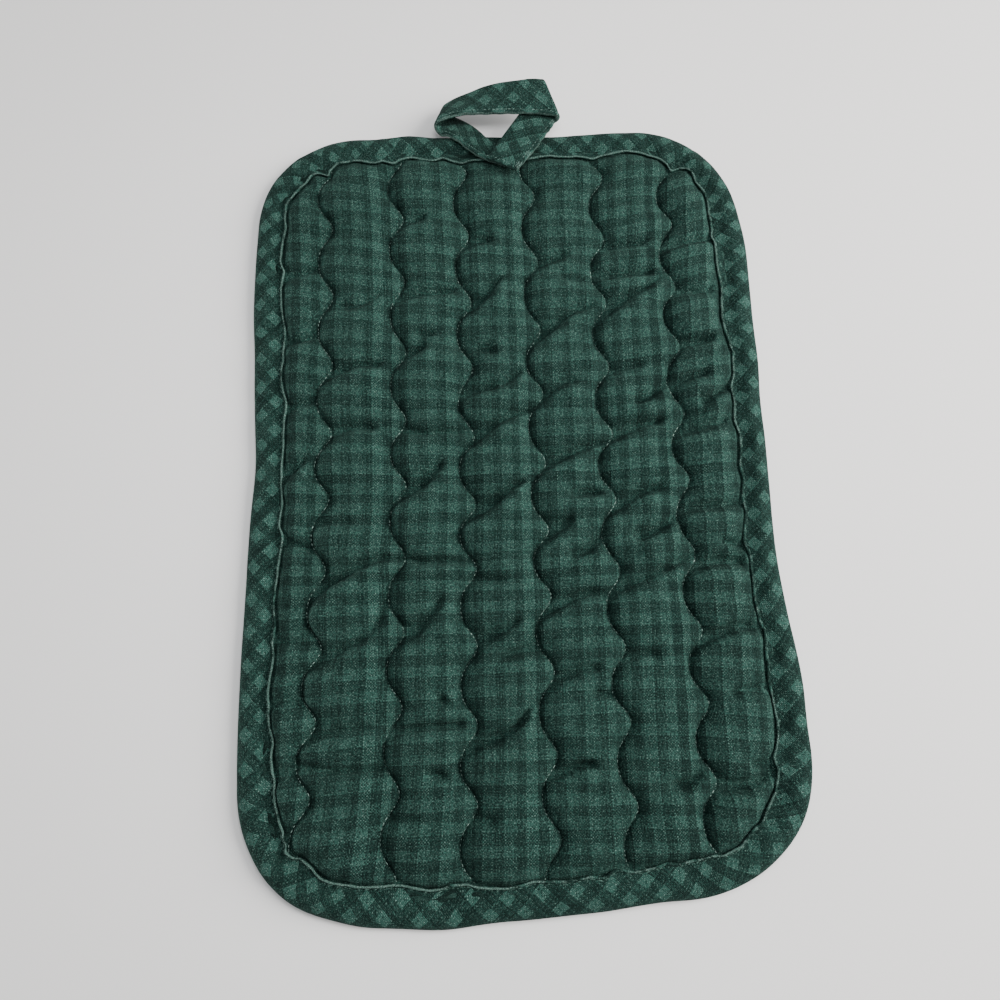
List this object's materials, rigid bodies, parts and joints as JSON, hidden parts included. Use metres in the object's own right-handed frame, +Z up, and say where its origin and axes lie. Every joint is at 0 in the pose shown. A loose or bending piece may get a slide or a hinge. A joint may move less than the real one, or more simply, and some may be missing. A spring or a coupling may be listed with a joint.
{
  "type": "pot holder",
  "caption": "Rectangular quilted cotton pot holder with rounded corners, wavy lengthwise quilting, a bias-bound edge and a sewn hanging loop, lying face up.",
  "frame": {"origin": "on the surface that the pot holder lies on, under the middle of the bounding box of pad and loop together", "axes": "+Y runs from the pad's lower edge towards the hanging loop, +X to the right of that seen from above, +Z up from the surface"},
  "size_m": [0.2054, 0.3314, 0.0143],
  "materials": {
    "check_cotton": "woven cotton in a small dark green check, matt",
    "bias_cotton": "the same cotton cut on the bias, folded and topstitched, matt",
    "loop_cotton": "the same cotton folded in four and topstitched, matt, worn pale at its folds"
  },
  "bodies": {
    "root": {"pad": "check_cotton", "binding": "bias_cotton", "loop": "loop_cotton"}
  },
  "joints": []
}
